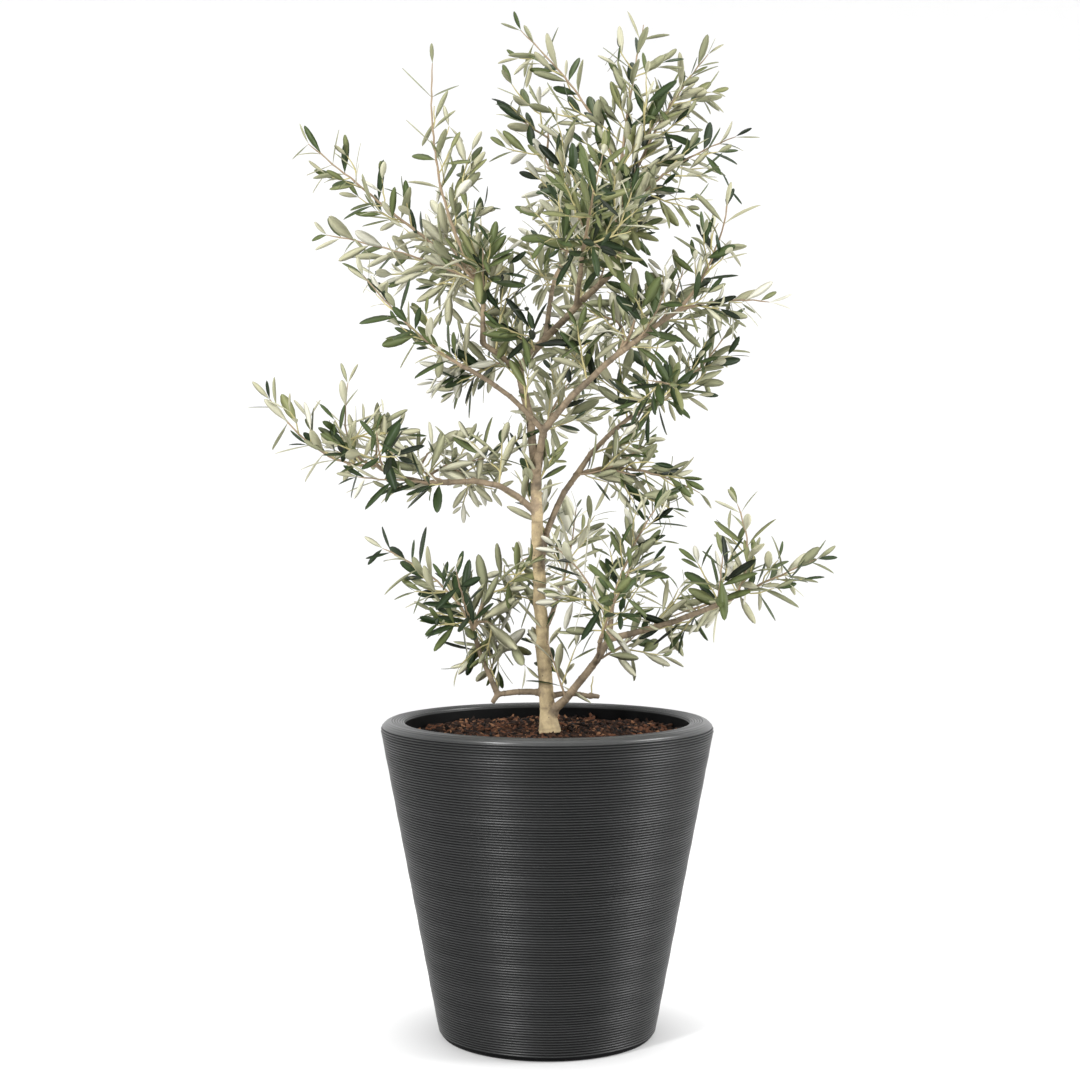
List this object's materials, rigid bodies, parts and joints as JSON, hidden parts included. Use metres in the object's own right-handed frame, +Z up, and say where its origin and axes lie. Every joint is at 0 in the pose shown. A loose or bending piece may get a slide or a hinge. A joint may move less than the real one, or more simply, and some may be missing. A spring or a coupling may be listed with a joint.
{
  "type": "potted olive tree",
  "caption": "Young olive tree with a forked trunk, open boughs and loose sprays of narrow leaves, in a round tapered planter with fine ribs.",
  "frame": {"origin": "centre of the planter's flat underside", "axes": "+Z up along the trunk, +X to the right and +Y to the back as the plant is seen from its front"},
  "size_m": [0.8214, 0.5747, 1.5462],
  "materials": {
    "pot": "moulded plastic with fine combed ribs, satin",
    "soil": "loose bark mulch over potting mix",
    "bark": "smooth grey-tan bark with ring scars",
    "foliage": "leathery grey-green leaves, silvery underneath"
  },
  "bodies": {
    "root": {"pot": "pot", "soil": "soil", "trunk": "bark", "left_stem": "bark", "right_stem": "bark", "top_bough": "bark", "top_leader": "bark", "left_fork": "bark", "left_riser": "bark", "crossing_bough": "bark", "right_bough": "bark", "right_bough_tip": "bark", "left_arm": "bark", "left_arm_tip": "bark", "low_left_limb": "bark", "low_left_riser": "bark", "low_right_bough": "bark", "low_right_riser": "bark", "low_right_reach": "bark", "cut_limb": "bark", "second_stem": "bark", "second_stem_tip": "bark", "back_bough": "bark", "back_stem": "bark", "back_limb": "bark", "front_bough": "bark", "front_limb": "bark", "leaves_top_left": "foliage", "leaves_top_middle": "foliage", "leaves_top": "foliage", "leaves_top_right": "foliage", "leaves_upper_right": "foliage", "leaves_heart_front": "foliage", "leaves_heart_back": "foliage", "leaves_upper_left": "foliage", "leaves_left_outer": "foliage", "leaves_left_low": "foliage", "leaves_left_heart": "foliage", "leaves_over_bough": "foliage", "leaves_right_upper": "foliage", "leaves_right_side": "foliage", "leaves_right_middle": "foliage", "leaves_right_inner": "foliage", "leaves_centre": "foliage", "leaves_right_low": "foliage", "leaves_right_riser": "foliage", "leaves_arm_tip": "foliage", "leaves_arm_top": "foliage", "leaves_arm_middle": "foliage", "leaves_arm_back": "foliage", "leaves_low_left": "foliage", "leaves_low_left_inner": "foliage", "leaves_low_left_side": "foliage", "leaves_low_back": "foliage", "leaves_middle_back": "foliage", "leaves_low_middle": "foliage", "leaves_low_front": "foliage", "leaves_low_right": "foliage", "leaves_reach_riser": "foliage", "leaves_reach_tip": "foliage"}
  },
  "joints": []
}
